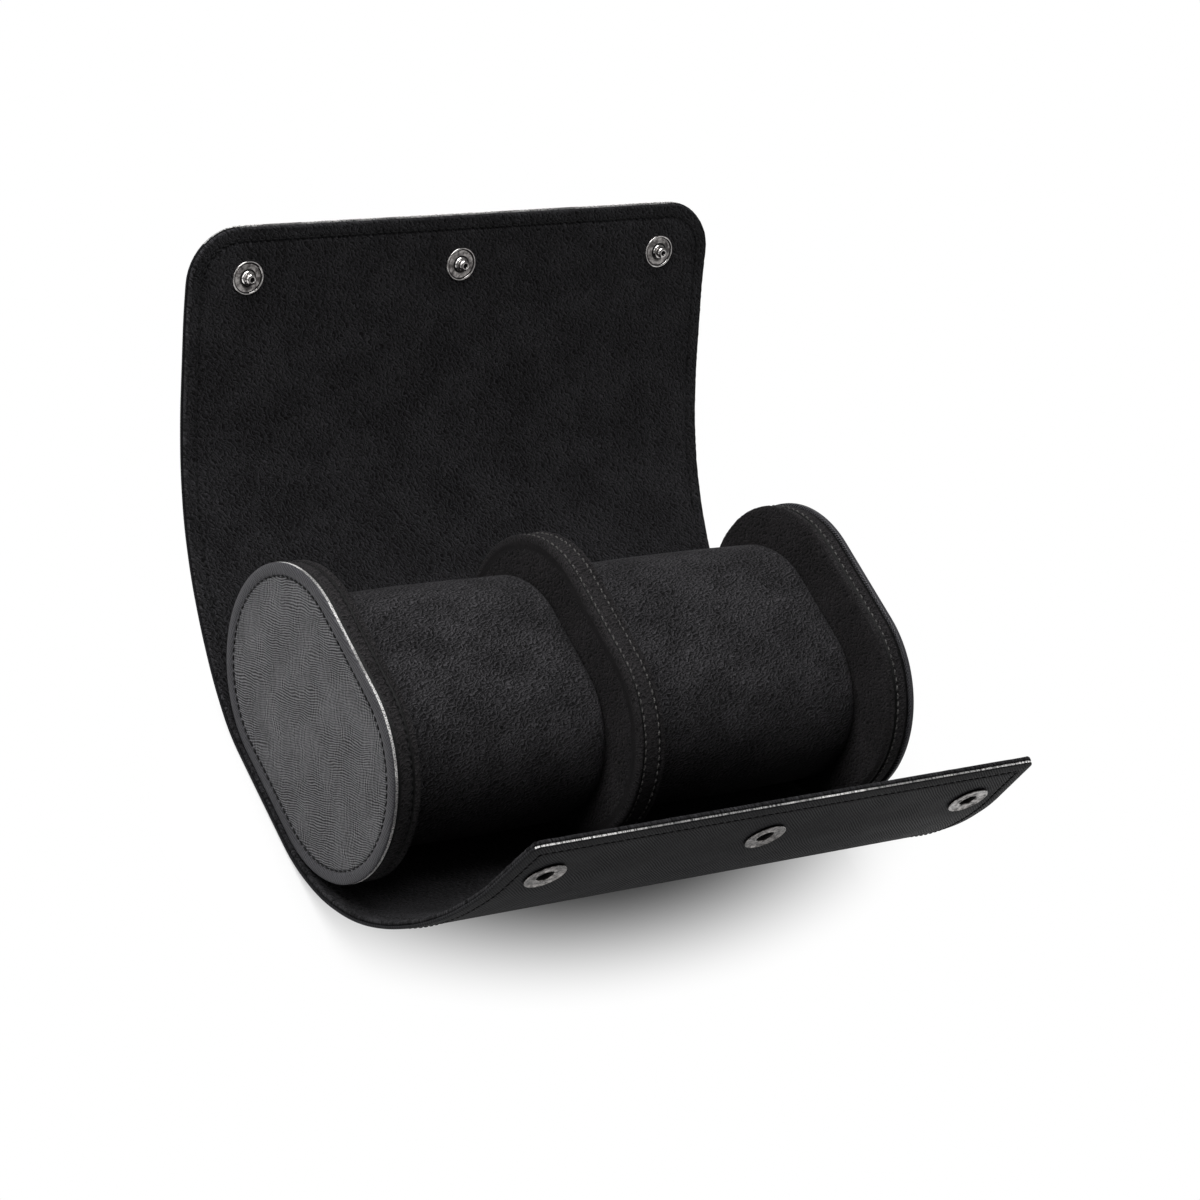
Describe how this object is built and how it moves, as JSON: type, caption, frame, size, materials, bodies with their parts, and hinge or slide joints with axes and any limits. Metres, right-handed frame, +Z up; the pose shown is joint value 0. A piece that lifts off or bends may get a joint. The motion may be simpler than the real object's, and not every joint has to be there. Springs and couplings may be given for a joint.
{
  "type": "watch roll",
  "caption": "Open watch roll: a leather wrap lined with suede folds round two padded bays between stadium end discs and a divider and snaps shut.",
  "frame": {"origin": "middle of the underside of the flat base, below the middle of the discs and half way along the roll", "axes": "+X along the roll from the left end disc to the right one as seen from the front, +Y back toward the lid, +Z up"},
  "size_m": [0.202, 0.2405, 0.1043],
  "materials": {
    "leather": "satin",
    "suede": "matte",
    "foam": "matte",
    "board": "matte",
    "metal": "polished"
  },
  "bodies": {
    "body": {"base_leather": "leather", "base_lining": "suede", "left_disc_core": "board", "left_disc_face": "leather", "left_disc_suede": "suede", "left_disc_rim": "suede", "right_disc_core": "board", "right_disc_face": "leather", "right_disc_suede": "suede", "right_disc_rim": "suede", "divider_core": "board", "divider_left_suede": "suede", "divider_right_suede": "suede", "divider_rim": "suede"},
    "lid_1": {"lid_leather_1": "leather", "lid_lining_1": "suede"},
    "lid_2": {"lid_leather_2": "leather", "lid_lining_2": "suede"},
    "lid_3": {"lid_leather_3": "leather", "lid_lining_3": "suede"},
    "lid_4": {"lid_leather_4": "leather", "lid_lining_4": "suede"},
    "lid_5": {"lid_leather_5": "leather", "lid_lining_5": "suede"},
    "lid_6": {"lid_leather_6": "leather", "lid_lining_6": "suede"},
    "lid_7": {"lid_leather_7": "leather", "lid_lining_7": "suede"},
    "lid_8": {"lid_leather_8": "leather", "lid_lining_8": "suede", "snap_studs": "metal", "stud_washers": "metal"},
    "flap_1": {"flap_leather_1": "leather", "flap_lining_1": "suede"},
    "flap_2": {"flap_leather_2": "leather", "flap_lining_2": "suede"},
    "flap_3": {"flap_leather_3": "leather", "flap_lining_3": "suede"},
    "flap_4": {"flap_leather_4": "leather", "flap_lining_4": "suede"},
    "flap_5": {"flap_leather_5": "leather", "flap_lining_5": "suede"},
    "flap_6": {"flap_leather_6": "leather", "flap_lining_6": "suede"},
    "flap_7": {"flap_leather_7": "leather", "flap_lining_7": "suede", "snap_sockets": "metal", "socket_washers": "metal"},
    "left_pillow": {"left_pillow_foam": "foam", "left_pillow_sleeve": "suede", "left_pillow_end_panels": "suede"},
    "right_pillow": {"right_pillow_foam": "foam", "right_pillow_sleeve": "suede", "right_pillow_end_panels": "suede"}
  },
  "joints": [
    {"name": "lid_wrap", "type": "hinge", "parent": "body", "child": "lid_1", "pos_m": [0, 0.02522, 0.0028], "axis": [-1, 0, 0], "range_deg": [-10.14, 1.83]},
    {"name": "lid_fold_2", "type": "hinge", "parent": "lid_1", "child": "lid_2", "pos_m": [0, 0.0415, 0.00716], "axis": [-1, 0, 0], "range_deg": [-17.69, 3.23]},
    {"name": "lid_fold_3", "type": "hinge", "parent": "lid_2", "child": "lid_3", "pos_m": [0, 0.05707, 0.01361], "axis": [-1, 0, 0], "range_deg": [-20.19, 3.68]},
    {"name": "lid_fold_4", "type": "hinge", "parent": "lid_3", "child": "lid_4", "pos_m": [0, 0.07201, 0.02139], "axis": [-1, 0, 0], "range_deg": [-18.19, 3.32]},
    {"name": "lid_fold_5", "type": "hinge", "parent": "lid_4", "child": "lid_5", "pos_m": [0, 0.0859, 0.03093], "axis": [-1, 0, 0], "range_deg": [-17.19, 3.14]},
    {"name": "lid_fold_6", "type": "hinge", "parent": "lid_5", "child": "lid_6", "pos_m": [0, 0.09832, 0.04232], "axis": [-1, 0, 0], "range_deg": [-18.69, 3.41]},
    {"name": "lid_fold_7", "type": "hinge", "parent": "lid_6", "child": "lid_7", "pos_m": [0, 0.10937, 0.05503], "axis": [-1, 0, 0], "range_deg": [-20.69, 3.77]},
    {"name": "lid_peel", "type": "hinge", "parent": "lid_7", "child": "lid_8", "pos_m": [0, 0.13065, 0.07907], "axis": [-1, 0, 0], "range_deg": [0, 55]},
    {"name": "flap_wrap", "type": "hinge", "parent": "body", "child": "flap_1", "pos_m": [0, -0.02497, 0.0028], "axis": [1, 0, 0], "range_deg": [-8.71, 2.61]},
    {"name": "flap_fold_2", "type": "hinge", "parent": "flap_1", "child": "flap_2", "pos_m": [0, -0.04096, 0.00769], "axis": [1, 0, 0], "range_deg": [-9.76, 2.96]},
    {"name": "flap_fold_3", "type": "hinge", "parent": "flap_2", "child": "flap_3", "pos_m": [0, -0.055, 0.0168], "axis": [1, 0, 0], "range_deg": [-12.76, 3.86]},
    {"name": "flap_fold_4", "type": "hinge", "parent": "flap_3", "child": "flap_4", "pos_m": [0, -0.06662, 0.02884], "axis": [1, 0, 0], "range_deg": [-15.26, 4.61]},
    {"name": "flap_fold_5", "type": "hinge", "parent": "flap_4", "child": "flap_5", "pos_m": [0, -0.07585, 0.04279], "axis": [1, 0, 0], "range_deg": [-17.26, 5.21]},
    {"name": "flap_fold_6", "type": "hinge", "parent": "flap_5", "child": "flap_6", "pos_m": [0, -0.08292, 0.05795], "axis": [1, 0, 0], "range_deg": [-17.26, 5.21]},
    {"name": "flap_fold_7", "type": "hinge", "parent": "flap_6", "child": "flap_7", "pos_m": [0, -0.08767, 0.07399], "axis": [1, 0, 0], "range_deg": [-17.76, 5.36]},
    {"name": "left_pillow_lift", "type": "slide", "parent": "body", "child": "left_pillow", "axis": [0, 0, 1], "range_m": [0, 0.09]},
    {"name": "right_pillow_lift", "type": "slide", "parent": "body", "child": "right_pillow", "axis": [0, 0, 1], "range_m": [0, 0.09]}
  ],
  "couplings": [
    {"joint": "lid_fold_2", "follows": "lid_wrap", "ratio": 1.7394},
    {"joint": "lid_fold_3", "follows": "lid_wrap", "ratio": 1.9859},
    {"joint": "lid_fold_4", "follows": "lid_wrap", "ratio": 1.7887},
    {"joint": "lid_fold_5", "follows": "lid_wrap", "ratio": 1.6901},
    {"joint": "lid_fold_6", "follows": "lid_wrap", "ratio": 1.838},
    {"joint": "lid_fold_7", "follows": "lid_wrap", "ratio": 2.0352},
    {"joint": "flap_fold_2", "follows": "flap_wrap", "ratio": 1.1148},
    {"joint": "flap_fold_3", "follows": "flap_wrap", "ratio": 1.459},
    {"joint": "flap_fold_4", "follows": "flap_wrap", "ratio": 1.7459},
    {"joint": "flap_fold_5", "follows": "flap_wrap", "ratio": 1.9754},
    {"joint": "flap_fold_6", "follows": "flap_wrap", "ratio": 1.9754},
    {"joint": "flap_fold_7", "follows": "flap_wrap", "ratio": 2.0328}
  ]
}
